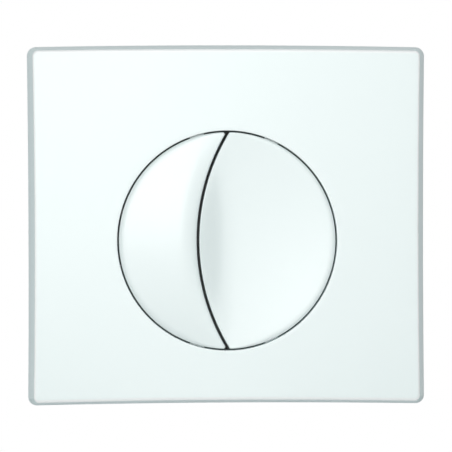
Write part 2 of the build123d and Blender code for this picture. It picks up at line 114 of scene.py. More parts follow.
class KeySizes(bpy.types.PropertyGroup):
    """The two flush keys"""

    drop: length("Drop", "Key circle's centre below the plate's", -HINGE[2])
    radius: length("Radius", "Key circle", 0.0512)
    divider_radius: length("Divider radius", "Arc of the gap between the keys", 0.099)
    divider_offset: length("Divider offset", "Key circle's centre to the divider's middle", 0.0139)
    divider_gap: length("Divider gap", "Gap between the keys", 0.0013)
    tip: length("Tip", "Rounding of the keys' tips", 0.00095)
    edge: length("Edge", "Rounding of the keys' front edges at the divider", 0.0006)
    rim_width: length("Rim width", "Width of the soft roll along the key circle", 0.0028)
    rim_drop: length("Rim drop", "Fall of that roll", 0.0009)
    wall: length("Wall", "Moulded wall thickness", 0.0024)
    skirt: length("Skirt", "Depth of the keys' sides", 0.0075)
    dome: length("Dome", "Rise of the small key's face", 0.00259)
    dish: length("Dish", "Fall of the large key's face", 0.0026)
    roll_width: length("Roll width", "Width of the small key's roll beside the divider", 0.0085)
    roll_drop: length("Roll drop", "Fall of that roll", 0.0012)
    wave_start: length("Wave start", "Where the large key's face begins to rise to the divider", 0.003)
    wave_ease: length("Wave ease", "Run over which that rise steepens", 0.009)
    wave_rise: length("Wave rise", "That rise at the divider", 0.0032)
    hinge: length("Hinge", "Key circle's centre to each hinge pin", HINGE[0])
    pin_level: length("Pin level", "Wall to the hinge pins", -HINGE[1])
    eye: length("Eye", "Outside radius of the hinge eyes", 0.0027)
    bore: length("Bore", "Bore of the hinge eyes", 0.00155)
    ear_inset: length("Ear inset", "Middle of a key to its ears", 0.008)
    ear_wall: length("Ear wall", "Thickness of the ears", 0.0032)
    pad: length("Pad", "Half thickness of the pad on the rod's head", 0.003)
    pad_width: length("Pad width", "Width of that pad", 0.008)
    pad_level: length("Pad level", "Wall to the pad's nose, behind the wall where negative", -0.0002)
    foot: length("Foot", "Radius of the feet over the buffers", 0.0025)
    lug_reach: length("Lug reach", "How far the stop lugs stand out", 0.0015)
    lug_width: length("Lug width", "Width of the stop lugs", 0.007)
    lug_level: length("Lug level", "Front of the stop lugs", 0.008)


class RodSizes(bpy.types.PropertyGroup):
    """Push rods, with levels measured back from the wall"""

    place: length("Place", "Key circle's centre to each rod", 0.021)
    radius: length("Radius", "Shank and thread", 0.003)
    core: length("Core", "Root of the thread", 0.00252)
    pitch: length("Pitch", "Pitch of the thread", 0.0013)
    head: length("Head", "Radius of the head", 0.0055)
    head_front: length("Head front", "Front of the head", 0.0005)
    head_back: length("Head back", "Back of the head", 0.003)
    groove: length("Groove", "Radius of the clip's groove", 0.0024)
    clip: length("Clip", "Outside radius of the clip", 0.00525)
    clip_front: length("Clip front", "Front of the clip", 0.0223)
    clip_wall: length("Clip wall", "Thickness of the clip", 0.0009)
    clip_mouth: length("Clip mouth", "Opening of the clip", 0.0044)
    thread_front: length("Thread front", "Where the thread begins", 0.0300)
    end: length("End", "End of the rod", 0.061)
    tip_front: length("Tip front", "Front of the tip", 0.047)
    grip: length("Grip", "Radius of the tip's grip", 0.007)
    grip_length: length("Grip length", "Length of the grip", 0.007)
    flute: length("Flute", "Radius of the grip's flutes", 0.0015)
    nose: length("Nose", "Radius of the tip's nose", 0.005)
    nose_edge: length("Nose edge", "Rounding of the nose", 0.0016)
    tip_end: length("Tip end", "End of the tip", 0.071)
    spring: length("Spring", "Middle radius of the return spring", 0.0047)
    wire: length("Wire", "Radius of the spring's wire", 0.00045)
    seat: length("Seat", "Carrier's floor, which the spring stands on", 0.0118)


class StudSizes(bpy.types.PropertyGroup):
    """Studs that fasten the frame to the cistern's box"""

    place: length("Place", "Middle of the plate to each stud", 0.07085)
    radius: length("Radius", "Outside of the thread", 0.003)
    core: length("Core", "Root of the thread", 0.00245)
    pitch: length("Pitch", "Pitch of the thread", 0.001)
    end: length("End", "Length behind the wall", 0.045)
    chamfer: length("Chamfer", "Chamfer of the ends", 0.0008)
    neck: length("Neck", "Radius in front of the wall", 0.0025)
    neck_level: length("Neck level", "Wall to the neck's end", 0.00887)


class FinishColours(bpy.types.PropertyGroup):
    """Colours of the finishes"""

    plate: colour("Plate", "Glossy white of the cover plate", (0.92, 0.982, 0.975))
    keys: colour("Keys", "Glossy white of the keys", (0.826, 0.892, 0.887))
    carrier: colour("Carrier", "Grey of the key carrier", (0.40, 0.42, 0.43))
    frame: colour("Frame", "Grey of the mounting frame", (0.52, 0.54, 0.55))
    rods: colour("Rods", "Natural white of the push rods", (0.78, 0.77, 0.73))
    tips: colour("Tips", "Blue of the rods' tips", (0.03, 0.13, 0.42))
    nuts: colour("Nuts", "Black of the nuts", (0.025, 0.025, 0.027))
    zinc: colour("Zinc", "Zinc on the screws and studs", (0.62, 0.64, 0.66))
    steel: colour("Steel", "Bright steel of the pins", (0.58, 0.58, 0.59))
    spring: colour("Spring", "Steel of the springs and clips", (0.42, 0.42, 0.43))
    rubber: colour("Rubber", "Black rubber of the buffers", (0.03, 0.03, 0.032))


GROUPS = {
    "flush_plate": PlateSizes,
    "flush_keys": KeySizes,
    "flush_rods": RodSizes,
    "flush_studs": StudSizes,
    "flush_colours": FinishColours,
}


def sizes_of(name):
    """A group's lengths in millimetres, which the pieces are modelled in."""
    group = getattr(bpy.context.scene, name)
    names = GROUPS[name].__annotations__
    return SimpleNamespace(**{size: MM_PER_METRE * getattr(group, size) for size in names})


# Materials

class Signal:
    """A shader socket's value. An expression on signals adds its Math nodes."""

    def __init__(self, finish, socket):
        self.finish = finish
        self.socket = socket

    def math(self, operation, first, second):
        return self.finish.node("ShaderNodeMath", {"operation": operation}, {0: first, 1: second})

    def __add__(self, other):
        return self.math("ADD", self, other)

    def __sub__(self, other):
        return self.math("SUBTRACT", self, other)

    def __rsub__(self, other):
        return self.math("SUBTRACT", other, self)

    def __mul__(self, other):
        return self.math("MULTIPLY", self, other)

    __radd__ = __add__
    __rmul__ = __mul__


class Finish:
    """A material or a world while its nodes are laid."""

    def __init__(self, owner):
        self.owner = owner
        owner.use_nodes = True
        self.tree = owner.node_tree
        self.tree.nodes.clear()

    def node(self, kind, settings=None, sockets=None, output=0):
        """Adds a node with its settings and its sockets' values or links, and gives one of its outputs."""
        node = self.tree.nodes.new(kind)
        for name, value in (settings or {}).items():
            if name == "stops":
                for stop, (position, tone) in zip(node.color_ramp.elements, value):
                    stop.position, stop.color = position, (tone, tone, tone, 1)
            else:
                setattr(node, name, value)
        for name, value in (sockets or {}).items():
            if isinstance(value, Signal):
                self.tree.links.new(value.socket, node.inputs[name])
            else:
                node.inputs[name].default_value = value
        return Signal(self, node.outputs[output]) if node.outputs else None

    def place(self):
        return self.node("ShaderNodeTexCoord", output="Object")

    def noise(self, scale, detail=2.0, place=None):
        """Noise from 0 to 1; the scale is in waves for each metre."""
        sockets = {"Vector": place or self.place(), "Scale": scale, "Detail": detail}
        return self.node("ShaderNodeTexNoise", sockets=sockets)

    def stretched(self, scale, stretch):
        """Noise drawn out along an axis, as brushed or drawn metal shows."""
        place = self.node("ShaderNodeMapping", sockets={"Vector": self.place(), "Scale": stretch})
        return self.noise(scale, 3.0, place)

    def steps(self, signal, low, high):
        """A signal spread over 0 to 1 between two of its values."""
        return self.node("ShaderNodeValToRGB", {"stops": ((low, 0), (high, 1))}, {"Fac": signal})

    def blend(self, share, first, second):
        """Two colours, or signals of colour, mixed by a share."""
        sides = [side if isinstance(side, Signal) else (*side, 1) for side in (first, second)]
        return self.node("ShaderNodeMix", {"data_type": "RGBA"}, {0: share, 6: sides[0], 7: sides[1]}, 2)

    def bump(self, height, distance, strength=1.0, rounding=0.0):
        """A bumped normal; rounding softens sharp edges by that radius first."""
        sockets = {"Height": height, "Distance": distance, "Strength": strength}
        if rounding:
            sockets["Normal"] = self.node("ShaderNodeBevel", {"samples": 6}, {"Radius": rounding})
        return self.node("ShaderNodeBump", sockets=sockets)

    def seen(self):
        """1 for rays from the camera, in reflections and through glass, and 0 for rays that carry light."""
        kinds = ("Camera", "Glossy", "Transmission")
        rays = [self.node("ShaderNodeLightPath", output=f"Is {kind} Ray") for kind in kinds]
        return self.node("ShaderNodeClamp", sockets={"Value": rays[0] + rays[1] + rays[2]})

    def surface(self, **sockets):
        """Ends the material in one Principled shader."""
        named = {}
        for name, value in sockets.items():
            named[name.replace("_", " ").title().replace("Ior", "IOR")] = value
        shader = self.node("ShaderNodeBsdfPrincipled", sockets=named)
        self.node("ShaderNodeOutputMaterial", sockets={"Surface": shader})
        return self.owner


def shade(tone, factor):
    return tuple(min(1.0, channel * factor) for channel in tone)


CROWN_CURVE = 0.1446  # half the curvature of the plate's face, for each metre
FACE_LEVEL = 0.0132  # wall to the middle of that face
DEPTH_SCALE = 75  # brings the plate's depth to about 1
# Where the plate's colour gives way to a painted highlight on its front edge, then to painted shade on its
# walls and darker painted shade further back, as depths behind its face on that scale
# Painted highlight: the front edge's colour is painted white between these depths
PAINTED_HIGHLIGHT_EDGE = (0.0008, 0.004)
WALL_FRONT = (0.03, 0.08)
WALL_BACK = (0.3, 1.0)
PAINTED_BACK_SHADE = 0.86
WHITE = (1.0, 1.0, 1.0)


def gloss_moulding(finish, tone, rough, gloss, deep=None):
    """Glossy injection moulding: a faint flow tone, a slow orange peel and handling marks in the gloss.

    The wall tone, when given, is painted shade that the colour falls to behind the plate's front edge, darker
    still further back, and that edge itself is painted white as a painted highlight.
    """
    flow = finish.noise(9, 1.0)
    peel = finish.noise(95, 1.0)
    smears = finish.noise(30, 3.0)
    colour = finish.blend(flow, shade(tone, 0.993), shade(tone, 1.004))
    if deep:
        place = {"Vector": finish.place()}
        x, y, z = (finish.node("ShaderNodeSeparateXYZ", sockets=place, output=axis) for axis in "XYZ")
        depth = (y - (x * x + z * z) * CROWN_CURVE + FACE_LEVEL) * DEPTH_SCALE
        # Painted highlight on the front edge, then painted shade on the walls, darker further back
        for (low, high), next_tone in (
            (PAINTED_HIGHLIGHT_EDGE, WHITE), (WALL_FRONT, deep), (WALL_BACK, shade(deep, PAINTED_BACK_SHADE))
        ):
            colour = finish.blend(finish.steps(depth, low, high), colour, next_tone)
    return finish.surface(
        base_color=colour,
        roughness=rough + smears * 0.04,
        specular_ior_level=gloss,
        normal=finish.bump(peel, 0.00003, 0.25),
    )


def satin_moulding(finish, tone, rough=0.42, grain=900):
    """Satin technical moulding: spark-eroded grain, paler flow lines and softened edges."""
    flow = finish.steps(finish.noise(26, 4.0), 0.3, 0.72)
    eroded = finish.noise(grain, 3.0)
    return finish.surface(
        base_color=finish.blend(flow, shade(tone, 0.93), shade(tone, 1.05)),
        roughness=rough + 0.14 * eroded - 0.05 * flow,
        specular_ior_level=0.4,
        normal=finish.bump(eroded, 0.00006, 0.5, 0.0003),
    )


def plated_metal(finish, tone, rough, stretch):
    """Plated or drawn metal: fine lines along the stock, and a patchy dulling."""
    lines = finish.stretched(420, stretch)
    patches = finish.steps(finish.noise(160, 4.0), 0.35, 0.7)
    return finish.surface(
        base_color=finish.blend(patches, shade(tone, 0.86), shade(tone, 1.06)),
        metallic=1.0,
        roughness=rough + 0.16 * patches + 0.12 * lines,
        normal=finish.bump(lines, 0.00003, 0.4, 0.00012),
    )


def moulded_rubber(finish, tone):
    """Dull rubber with a fine bloom."""
    bloom = finish.noise(240, 5.0)
    return finish.surface(
        base_color=finish.blend(bloom, shade(tone, 0.8), shade(tone, 1.8)),
        roughness=0.7 + 0.15 * bloom,
        specular_ior_level=0.3,
        normal=finish.bump(finish.noise(1500, 2.0), 0.00005, 0.5, 0.0003),
    )


PAINTED_WALL_SHADE = (0.80, 0.925, 0.932)  # cool painted shade on the plate's walls, in place of the shade and cool reflections that fall there
FINISHES = {
    "plate_white": (
        "Glossy white cover", "plate", gloss_moulding, {"rough": 0.3, "gloss": 0.8, "deep": PAINTED_WALL_SHADE}
    ),
    "key_white": ("Glossy white keys", "keys", gloss_moulding, {"rough": 0.21, "gloss": 1.0}),
    "carrier_grey": ("Satin grey carrier", "carrier", satin_moulding, {}),
    "frame_grey": ("Satin grey frame", "frame", satin_moulding, {"rough": 0.46, "grain": 700}),
    "rod_plastic": ("Natural white rods", "rods", satin_moulding, {"rough": 0.34, "grain": 1400}),
    "tip_plastic": ("Blue rod tips", "tips", satin_moulding, {"rough": 0.36, "grain": 1100}),
    "nut_plastic": ("Black nuts", "nuts", satin_moulding, {"rough": 0.4, "grain": 1200}),
    "zinc_steel": ("Zinc-plated steel", "zinc", plated_metal, {"rough": 0.28, "stretch": (1, 0.25, 1)}),
    "pin_steel": ("Bright pin steel", "steel", plated_metal, {"rough": 0.18, "stretch": (1, 1, 0.1)}),
    "spring_steel": ("Spring steel", "spring", plated_metal, {"rough": 0.24, "stretch": (1, 1, 1)}),
    "buffer_rubber": ("Buffer rubber", "rubber", moulded_rubber, {}),
}


def finish_for(slot):
    """The finished material of a slot, laid the first time it is asked for."""
    name, tone, lay, options = FINISHES[slot]
    ready = bpy.data.materials.get(name)
    if ready:
        return ready
    colours = bpy.context.scene.flush_colours
    return lay(Finish(bpy.data.materials.new(name)), tuple(getattr(colours, tone)), **options)


# Modelling: pieces are drawn face up in millimetres, z = 0 at the wall, and stood upright when done

def start_piece(name):
    """An empty piece in edit mode, with nothing else selected."""
    bpy.ops.object.select_all(action="DESELECT")
    bpy.ops.object.add(type="MESH")
    piece = bpy.context.object
    piece.name = piece.data.name = name
    bpy.ops.object.mode_set(mode="EDIT")
    return piece


def edit_mesh():
    """The mesh in edit mode, with its numbers up to date."""
    mesh = bmesh.from_edit_mesh(bpy.context.object.data)
    mesh.verts.index_update()
    mesh.verts.ensure_lookup_table()
    return mesh


def keep_places():
    bmesh.update_edit_mesh(bpy.context.object.data, loop_triangles=False, destructive=False)


def select_ring(numbers):
    """Selects the edges of a closed ring, given by its corners' numbers."""
    bpy.ops.mesh.select_mode(type="EDGE")
    bpy.ops.mesh.select_all(action="DESELECT")
    mesh = edit_mesh()
    for first, second in zip(numbers, numbers[1:] + numbers[:1]):
        mesh.edges.get((mesh.verts[first], mesh.verts[second])).select_set(True)
    keep_places()


def add_ring(points):
    """Adds a circle, moves its corners to these points and gives their numbers."""
    first = len(edit_mesh().verts)
    bpy.ops.mesh.primitive_circle_add(vertices=len(points), radius=1)
    mesh = edit_mesh()
    for corner, point in zip(mesh.verts[first:], points):
        corner.co = point
    keep_places()
    return list(range(first, len(mesh.verts)))


def extrude_through(numbers, rings):
    """Extrudes a ring of edges from one ring of points to the next, and gives the last corners' numbers."""
    select_ring(numbers)
    for ring in rings:
        count = len(edit_mesh().verts)
        bpy.ops.mesh.extrude_edges_move()
        mesh = edit_mesh()
        risen = {}
        for corner in mesh.verts[count:]:
            for edge in corner.link_edges:
                other = edge.other_vert(corner).index
                if other < count:
                    risen[other] = corner
        for number, point in zip(numbers, ring):
            risen[number].co = point
        numbers = [risen[number].index for number in numbers]
        keep_places()
    return numbers


def fill_ring(numbers):
    select_ring(numbers)
    bpy.ops.mesh.edge_face_add()


def loft(rings, capped=False):
    """Draws a ring and extrudes it through the others. An uncapped run closes on itself or in its poles."""
    first = add_ring(rings[0])
    last = extrude_through(first, rings[1:])
    if capped:
        fill_ring(first)
        fill_ring(last)


def circle(radius, level, steps=64, centre=(0, 0)):
    turns = (2 * pi * i / steps for i in range(steps))
    return [Vector((centre[0] + radius * cos(a), centre[1] + radius * sin(a), level)) for a in turns]


def turned(profile, steps=64, centre=(0, 0)):
    """A turned form about an upright axis: a circle extruded along its profile of radius and level."""
    loft([circle(radius, level, steps, centre) for radius, level in profile])


def rounded(radius, level, edge, steps=5):
    """Profile points round an outside edge, from a flat end to the side."""
    turns = [pi / 2 * (i / steps) for i in range(steps + 1)]
    return [(radius - edge * (1 - sin(turn)), level - edge * (1 - cos(turn))) for turn in turns]


DOUBLE = 0.0005  # corners this near are one
SLIVER = 0.0001  # edges this short are dissolved


def close_up():
    """Merges what meets, turns the faces outwards and leaves edit mode; an open seam stops the script."""
    bpy.ops.mesh.select_mode(type="VERT")
    bpy.ops.mesh.select_all(action="SELECT")
    bpy.ops.mesh.remove_doubles(threshold=DOUBLE)
    bpy.ops.mesh.dissolve_degenerate(threshold=SLIVER)
    bpy.ops.mesh.select_all(action="SELECT")
    bpy.ops.mesh.normals_make_consistent(inside=False)
    ragged = sum(1 for edge in edit_mesh().edges if not edge.is_manifold)
    name = bpy.context.object.name
    bpy.ops.object.mode_set(mode="OBJECT")
    if ragged:
        raise RuntimeError(f"{name} has {ragged} open or doubled edges")


def take(*pieces):
    """Selects these pieces alone; the first is the active one."""
    bpy.ops.object.select_all(action="DESELECT")
    for piece in pieces:
        piece.select_set(True)
    bpy.context.view_layer.objects.active = pieces[0]


def join(*pieces):
    take(*pieces)
    bpy.ops.object.join()
    return pieces[0]


def unite(piece, addition):
    """Melts an addition into a piece."""
    take(piece)
    weld = piece.modifiers.new("Weld", "BOOLEAN")
    weld.operation = "UNION"
    weld.solver = "EXACT"
    weld.object = addition
    bpy.ops.object.modifier_apply(modifier=weld.name)
    bpy.data.objects.remove(addition, do_unlink=True)


THREAD_SEAM = 0.001  # the winding's turns are merged within this


def thread(name, radius, core, pitch, low, high, steps=36):
    """A threaded length about an upright axis, wound past both ends and cut square there."""
    piece = start_piece(name)
    spare = 2
    start = low - spare * pitch
    outline = ((core, 0), (core, 0.12), (radius, 0.5), (radius, 0.62), (core, 1))  # radius, share of pitch
    bpy.ops.mesh.primitive_plane_add(size=1)
    bpy.ops.mesh.merge(type="CENTER")
    bpy.ops.transform.translate(value=(core, 0, start))
    for (r0, z0), (r1, z1) in zip(outline, outline[1:]):
        step = (r1 - r0, 0, pitch * (z1 - z0))
        bpy.ops.mesh.extrude_vertices_move(TRANSFORM_OT_translate={"value": step})
    bpy.ops.object.mode_set(mode="OBJECT")
    winding = piece.modifiers.new("Winding", "SCREW")
    winding.axis = "Z"
    winding.angle = 2 * pi
    winding.screw_offset = pitch
    winding.iterations = int((high - low) / pitch) + 2 * spare
    winding.steps = winding.render_steps = steps
    winding.use_merge_vertices = True
    winding.merge_threshold = THREAD_SEAM
    bpy.ops.object.modifier_apply(modifier=winding.name)
    bpy.ops.object.mode_set(mode="EDIT")
    bpy.ops.mesh.select_all(action="SELECT")
    bpy.ops.mesh.remove_doubles(threshold=THREAD_SEAM)
    for level, side in ((low, "clear_inner"), (high, "clear_outer")):
        bpy.ops.mesh.select_all(action="SELECT")
        bpy.ops.mesh.bisect(plane_co=(0, 0, level), plane_no=(0, 0, 1), use_fill=True, **{side: True})
    close_up()
    return piece


def shift(piece, move):
    """Moves a piece in the drawing."""
    take(piece)
    piece.location = move
    bpy.ops.object.transform_apply(location=True, rotation=False, scale=False)


def copy_of(piece, name, move):
    """A copy of a piece with its own mesh, moved in the drawing."""
    take(piece)
    bpy.ops.object.duplicate()
    copy = bpy.context.object
    copy.name = copy.data.name = name
    shift(copy, move)
    return copy


def seat(piece, body, slot, *nodes, angle=32):
    """Stands a piece upright in the frame, smooths it, finishes it and ties it to its body."""
    take(piece)
    piece.rotation_euler = (pi / 2, 0, 0)
    piece.scale = [1 / MM_PER_METRE] * 3
    bpy.ops.object.transform_apply(location=True, rotation=True, scale=True)
    bpy.ops.object.shade_smooth_by_angle(angle=radians(angle))
    piece.data.materials.clear()
    piece.data.materials.append(finish_for(slot))
    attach(piece, body)
    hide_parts(*nodes)


# Forms of the plate and the keys

EDGE_STEPS = (36, 32, 36, 32)  # along the plate's top, left, bottom and right
CORNER_STEPS = 10
ROLL_TURN = radians(26)  # the front edge's soft roll turns this far before the tight arc
ARC_STEPS, ROLL_STEPS = 7, 6
FACE_STEPS, INSIDE_STEPS = 26, 10  # from the plate's edges to its opening
OPENING_STEPS = 4
SETTLING = 6  # tries in which a point on a wall settles onto the face
RIB_TURNS = [radians(degrees) for degrees in (45, 75, 105, 135, 225, 255, 285, 315)]
RIB_STEPS = 8
RIB_SINK = 0.65  # share of the wall left outside a rib's end
BOSS_TURNS = [radians(degrees) for degrees in (45, 135, 225, 315)]
POST_STEPS = 40  # round a boss or a foot


def face_level(plate, x, y):
    """Level of the plate's crowned face."""
    run = plate.width / 2 - plate.side_lean
    ball = (run**2 + plate.crown**2) / (2 * plate.crown)
    return plate.depth + plate.crown - ball + sqrt(ball**2 - x * x - y * y)


def plate_outline(plate, level, inset):
    """The plate's outline at a level, set in from its outside, as points with their outward directions."""
    lean = level / plate.depth
    radius = max(plate.corner + (plate.front_corner - plate.corner) * lean - inset, plate.inner_corner)
    half_width = plate.width / 2 - plate.side_lean * lean - inset
    half_height = plate.height / 2 - plate.end_lean * lean - inset
    across, up = half_width - radius, half_height - radius
    middles = [(across, up), (-across, up), (-across, -up), (across, -up)]
    outline = []
    for quarter, (middle, steps) in enumerate(zip(middles, EDGE_STEPS)):
        for i in range(CORNER_STEPS + 1):
            turn = pi / 2 * (quarter + i / CORNER_STEPS)
            out = Vector((cos(turn), sin(turn), 0))
            outline.append((Vector((*middle, level)) + radius * out, out))
        last = outline[-1]
        run = Vector((*middles[(quarter + 1) % 4], level)) - Vector((*middle, level))
        outline += [(last[0] + run * i / steps, last[1]) for i in range(1, steps)]
    for spot, _ in outline:
        x, y = spot.x / half_width, spot.y / half_height
        spot.x -= x * (1 - y * y) * plate.side_bow * half_height / (plate.height / 2)
        spot.y -= x * x * plate.end_bow * half_width / (plate.width / 2)
    return outline


def wall_meets_face(plate, inset):
    """Where the plate's walls, set in, meet its face, set back as far: points, ways out and ways up."""
    base = plate_outline(plate, 0, inset)
    top = plate_outline(plate, plate.depth, inset)
    meets = []
    for (low, out), (high, _) in zip(base, top):
        rise = (high - low) / plate.depth
        spot = high
        for _ in range(SETTLING):
            spot = low + rise * (face_level(plate, spot.x, spot.y) - inset)
        meets.append((spot, out, rise.normalized()))
    return meets


def round_front_edge(plate, spot, out, rise):
    """Profile from the wall over the front edge to the face: a tight arc, then a soft roll."""
    within = spot - out
    within.z = face_level(plate, within.x, within.y)
    outward = (spot - within).normalized()
    steep = outward.angle(-rise)
    down = (-rise + outward * rise.dot(outward)).normalized()
    tight, bend = plate.front_edge, ROLL_TURN
    soft = plate.front_roll + (plate.side_roll - plate.front_roll) * out.x**2

    def profile(turn):
        roll = min(turn, bend)
        across, drop = soft * sin(roll), soft * (1 - cos(roll))
        if turn > bend:
            across += tight * (sin(turn) - sin(bend))
            drop += tight * (cos(bend) - cos(turn))
        return across, drop

    reach, fall = profile(steep)
    start = reach - fall / tan(steep)
    turns = [steep + (bend - steep) * i / ARC_STEPS for i in range(ARC_STEPS + 1)]
    turns += [bend * (1 - i / ROLL_STEPS) for i in range(1, ROLL_STEPS + 1)]
    spots = []
    for turn in turns:
        across, drop = profile(turn)
        spots.append(spot + outward * (across - start) + down * drop)
    return spots


def plate_shell(plate, drop):
    """The plate as one closed wall: up the outside, over the face, down the opening and back inside."""
    meets = wall_meets_face(plate, 0)
    arcs = [round_front_edge(plate, *meet) for meet in meets]
    rings = [[spot for spot, _ in plate_outline(plate, 0, 0)]]
    rings += [list(ring) for ring in zip(*arcs)]
    turns = [atan2(arc[-1].y + drop, arc[-1].x) for arc in arcs]

    def ring_at(radius, level=None, below=0.0):
        ring = []
        for turn in turns:
            x, y = radius * cos(turn), radius * sin(turn) - drop
            ring.append(Vector((x, y, face_level(plate, x, y) - below if level is None else level)))
        return ring

    def spread(first, last, steps, below):
        between = []
        for i in range(1, steps):
            ring = [start.lerp(end, i / steps) for start, end in zip(first, last)]
            for spot in ring:
                spot.z = face_level(plate, spot.x, spot.y) - below
            between.append(ring)
        return between + [last]

    edge = plate.opening_edge
    rings += spread(rings[-1], ring_at(plate.opening + edge), FACE_STEPS, 0)
    for i in range(1, OPENING_STEPS + 1):
        turn = pi / 2 * i / OPENING_STEPS
        rings.append(ring_at(plate.opening + edge * (1 - sin(turn)), below=edge * (1 - cos(turn))))
    collar = plate.opening + plate.collar_wall
    rings += [ring_at(plate.opening, plate.collar_level), ring_at(collar, plate.collar_level)]
    rings.append(ring_at(collar, below=plate.wall))
    inside = [spot for spot, _, _ in wall_meets_face(plate, plate.wall)]
    rings += spread(rings[-1], inside, INSIDE_STEPS, plate.wall)
    rings.append([spot for spot, _ in plate_outline(plate, 0, plate.wall)])
    rings.append(rings[0])
    return rings


def plate_rib(plate, drop, turn, reach):
    """Rib behind the face from the collar to the wall, as two outlines."""
    half = plate.rib / 2
    along = Vector((cos(turn), sin(turn), 0))
    aside = Vector((-sin(turn), cos(turn), 0))
    start = plate.opening + plate.collar_wall / 2
    stations = [start + (reach - start) * i / RIB_STEPS for i in range(RIB_STEPS + 1)]

    def outline(shift):
        spots = [along * station + aside * shift + Vector((0, -drop, 0)) for station in stations]
        low = [Vector((spot.x, spot.y, plate.collar_level)) for spot in spots]
        tops = [face_level(plate, spot.x, spot.y) - plate.wall / 2 for spot in spots]
        high = [Vector((spot.x, spot.y, top)) for spot, top in zip(spots, tops)]
        return low + high[::-1]

    return [outline(-half), outline(half)]


def rib_reach(plate, drop, turn):
    """How far a rib runs before it is inside the plate's wall."""
    sides = plate.width / 2 - plate.side_lean * plate.collar_level / plate.depth - RIB_SINK * plate.wall
    ends = plate.height / 2 - plate.end_lean * plate.collar_level / plate.depth - RIB_SINK * plate.wall
    across = sides / abs(cos(turn))
    up = (ends + (drop if sin(turn) > 0 else -drop)) / abs(sin(turn))
    return min(across, up)


def snap_hook(plate, side, end):
    """Hook with a sloped barb, drawn as an outline across its blade and carried along its width."""
    near = plate.hook_reach
    far = near + plate.hook_wall
    tip = near - plate.hook_barb
    low = plate.hook_lift
    top = face_level(plate, plate.hook_place, far) - plate.wall / 2
    ease = 0.3
    ledge, slope = low + 1.8, low + 1.1
    profile = [
        (far - ease, low), (far, low + ease), (far, top), (near, top), (near, ledge),
        (tip, ledge), (tip, slope), (near - ease, low),
    ]
    middle = side * plate.hook_place
    half = plate.hook_width / 2
    return [[Vector((x, end * y, z)) for y, z in profile] for x in (middle - half, middle + half)]


def wave(keys, x):
    """Rise of the large key's face to the divider, which carries the small key's roll on into the dish."""
    run = max(0.0, keys.wave_start - x)
    ease = keys.wave_ease
    climbed = run**2 / (2 * ease) if run < ease else run - ease / 2
    return keys.wave_rise * climbed / (keys.wave_start + keys.divider_offset - ease / 2)


def key_face(plate, keys, side, x, y):
    """Level of a key's face at a place measured from the key circle's centre."""
    ring_level = face_level(plate, keys.radius, 0)
    swell = 1 - (x * x + y * y) / keys.radius**2
    if side > 0:
        return ring_level - swell * (keys.dish - wave(keys, x))
    reach = hypot(x - keys.divider_radius + keys.divider_offset, y)
    inside = reach - keys.divider_radius - keys.divider_gap / 2
    roll = keys.roll_drop * max(0.0, 1 - inside / keys.roll_width) ** 2
    return ring_level + swell * (keys.dome - roll)


def key_outline(keys, side, inset, tip):
    """A key's outline set in from its edge, as a way to place a point by its shares along and across it."""
    rim = keys.radius - inset
    divider = keys.divider_radius - side * (keys.divider_gap / 2 + inset)
    middle = keys.divider_radius - keys.divider_offset
    near = rim - tip
    far = divider - side * tip
    x = (middle**2 + near**2 - far**2) / (2 * middle)
    y = sqrt(near**2 - x * x)
    rim_turn = atan2(y, x)
    divider_turn = atan2(y, x - middle)
    rim_sweep = -2 * rim_turn if side > 0 else 2 * (pi - rim_turn)
    tip_sweep = divider_turn - (0 if side > 0 else pi) - rim_turn
    ease = 0.03  # share of the outline over which a tip's rounding fades

    def on_rim(along):
        turn = rim_turn + rim_sweep * along
        return Vector((rim * cos(turn), rim * sin(turn), 0))

    def on_divider(along):
        turn = divider_turn + 2 * (pi - divider_turn) * along
        return Vector((middle + divider * cos(turn), divider * sin(turn), 0))

    def spot(along, across):
        place = on_rim(along).lerp(on_divider(along), across)
        turn = rim_turn + tip_sweep * across
        bulge = Vector((x + tip * cos(turn), y + tip * sin(turn), 0)) - on_rim(0).lerp(on_divider(0), across)
        place += bulge * max(0.0, 1 - along / ease) ** 2
        place += Vector((bulge.x, -bulge.y, 0)) * max(0.0, 1 - (1 - along) / ease) ** 2
        return place

    return spot


KEY_STEPS = (160, 24)
RIM_FADE = 0.14  # share of the rim over which its roll fades into each tip


def key_ring():
    """Places round a key's outline, as steps along and across it."""
    along, across = KEY_STEPS
    ring = [(i, 0) for i in range(along + 1)] + [(along, j) for j in range(1, across + 1)]
    return ring + [(i, across) for i in range(along - 1, -1, -1)] + [(0, j) for j in range(across - 1, 0, -1)]


def key_sheet(spot):
    """Adds a grid, places its points on a key, and gives the numbers round its edge."""
    along, across = KEY_STEPS
    first = len(edit_mesh().verts)
    bpy.ops.mesh.primitive_grid_add(x_subdivisions=along, y_subdivisions=across, size=1)
    mesh = edit_mesh()
    numbers = {}
    for corner in mesh.verts[first:]:
        step = (round((corner.co.x + 0.5) * along), round((corner.co.y + 0.5) * across))
        numbers[step] = corner.index
        corner.co = spot(step[0] / along, step[1] / across)
    keep_places()
    return [numbers[step] for step in key_ring()]


